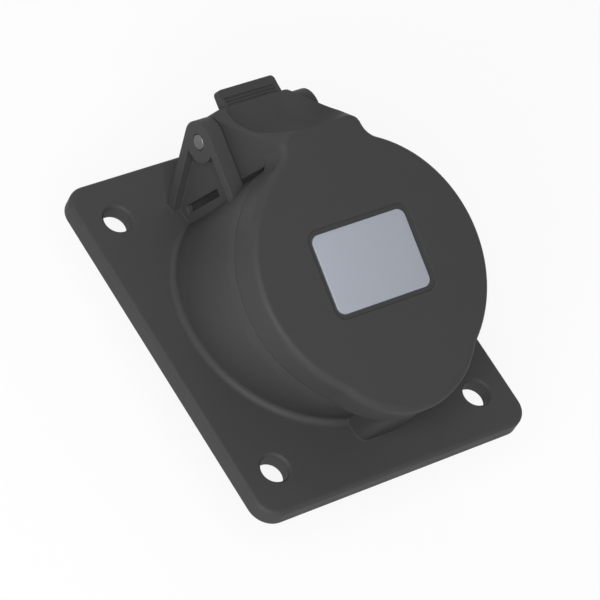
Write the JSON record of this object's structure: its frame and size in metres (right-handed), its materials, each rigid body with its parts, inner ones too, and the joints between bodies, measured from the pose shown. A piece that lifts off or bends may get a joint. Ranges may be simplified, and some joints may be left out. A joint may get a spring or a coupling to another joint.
{
  "type": "industrial panel socket outlet",
  "caption": "Sloping industrial panel socket with a square-cornered flange, round tilted body, keyway rib and sprung hinged lid with a blank label.",
  "frame": {"origin": "centre of the flange's back face, in the plane that lies on the panel", "axes": "+Z out of the panel, +Y towards the lid's hinge, +X along the hinge pin"},
  "size_m": [0.092, 0.11, 0.0903],
  "materials": {
    "housing_plastic": "dark grey moulded plastic, satin",
    "lid_plastic": "dark grey moulded plastic, satin",
    "label_film": "silver grey film, matt",
    "seal_rubber": "black, matt",
    "pin_steel": "plain turned steel",
    "spring_steel": "drawn stainless wire",
    "insulator_plastic": "black moulded plastic",
    "contact_brass": "turned brass",
    "screw_steel": "zinc plated steel"
  },
  "bodies": {
    "base": {"housing": "housing_plastic", "flange_seal": "seal_rubber", "hinge_pin": "pin_steel", "lid_spring": "spring_steel", "contact_carrier": "insulator_plastic", "contact_block": "insulator_plastic", "terminal_carrier": "insulator_plastic", "carrier_screws": "screw_steel", "carrier_centre_screw": "screw_steel", "contact_sleeve_pe": "contact_brass", "contact_sleeve_l1": "contact_brass", "contact_sleeve_l2": "contact_brass", "contact_sleeve_l3": "contact_brass", "contact_sleeve_n": "contact_brass", "contact_ring_pe": "spring_steel", "contact_ring_l1": "spring_steel", "contact_ring_l2": "spring_steel", "contact_ring_l3": "spring_steel", "contact_ring_n": "spring_steel", "terminal_screw_pe": "screw_steel", "terminal_screw_l1": "screw_steel", "terminal_screw_l2": "screw_steel", "terminal_screw_l3": "screw_steel", "terminal_screw_n": "screw_steel"},
    "lid_body": {"lid": "lid_plastic", "label": "label_film", "lid_seal": "seal_rubber"}
  },
  "joints": [
    {"name": "lid_hinge", "type": "hinge", "parent": "base", "child": "lid_body", "pos_m": [0, 0.04259, 0.03284], "axis": [-1, 0, 0], "range_deg": [0, 110], "stiffness_Nm_per_rad": 0.05, "springref_deg": -91.67, "deforming": ["lid_spring"]}
  ]
}
